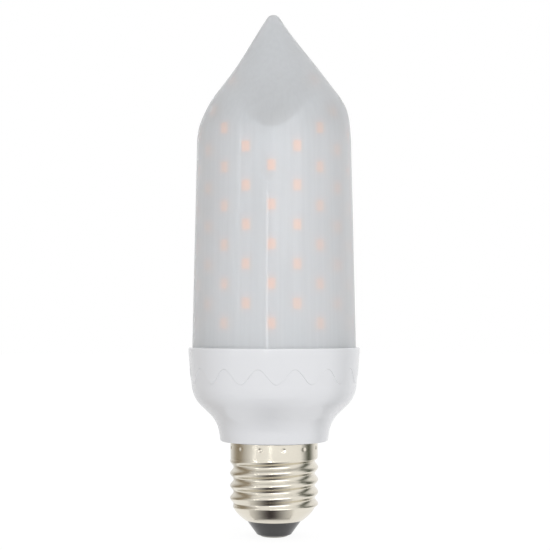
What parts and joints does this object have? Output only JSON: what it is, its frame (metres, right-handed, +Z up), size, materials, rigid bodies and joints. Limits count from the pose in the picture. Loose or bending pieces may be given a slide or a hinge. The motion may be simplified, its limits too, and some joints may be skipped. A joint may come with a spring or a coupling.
{
  "type": "flame effect led bulb",
  "caption": "Retrofit LED lamp with a frosted tubular diffuser drawn to a flame point, a white collar and bowl with a wavy band, and a nickel-plated screw cap.",
  "frame": {"origin": "centre of the centre contact's end face, the lowest point of the lamp", "axes": "+Z up along the lamp's axis from the screw cap to the flame tip; -Y towards the front in the picture, +X to its right"},
  "size_m": [0.051, 0.051, 0.1561],
  "materials": {
    "milky_polycarbonate": "frosted milky polycarbonate",
    "white_housing": "glossy white moulding",
    "nickel_shell": "bright nickel plate",
    "black_insulator": "semi-gloss black",
    "contact_metal": "nickel-plated brass",
    "white_board": "white solder mask",
    "led_package": "white moulded package",
    "phosphor": "silicone with phosphor",
    "core_plastic": "natural white moulding",
    "screw_steel": "zinc-plated",
    "sealant": "cured silicone",
    "driver_laminate": "green solder mask",
    "chip_epoxy": "moulded epoxy",
    "capacitor_sleeve": "shrunk sleeve",
    "ferrite": "sintered ferrite",
    "copper_wire": "enamelled copper",
    "resistor_coat": "baked coating",
    "header_nylon": "nylon",
    "ribbon_pvc": "flat grey cable",
    "red_pvc": "insulated wire",
    "black_pvc": "insulated wire"
  },
  "bodies": {
    "root": {"diffuser": "milky_polycarbonate", "housing": "white_housing", "cap_shell": "nickel_shell", "cap_insulator": "black_insulator", "centre_contact": "contact_metal", "led_board": "white_board", "led_packages": "led_package", "led_phosphors": "phosphor", "core_tube": "core_plastic", "core_screws": "screw_steel", "diffuser_sealant": "sealant", "driver_board": "driver_laminate", "bridge_rectifier": "chip_epoxy", "input_capacitor": "capacitor_sleeve", "output_capacitor": "capacitor_sleeve", "inductor_core": "ferrite", "inductor_winding": "copper_wire", "driver_chip": "chip_epoxy", "controller_chip": "chip_epoxy", "row_transistors": "chip_epoxy", "fusible_resistor": "resistor_coat", "board_header": "header_nylon", "ribbon_lead": "ribbon_pvc", "live_lead": "red_pvc", "neutral_lead": "black_pvc"}
  },
  "joints": []
}
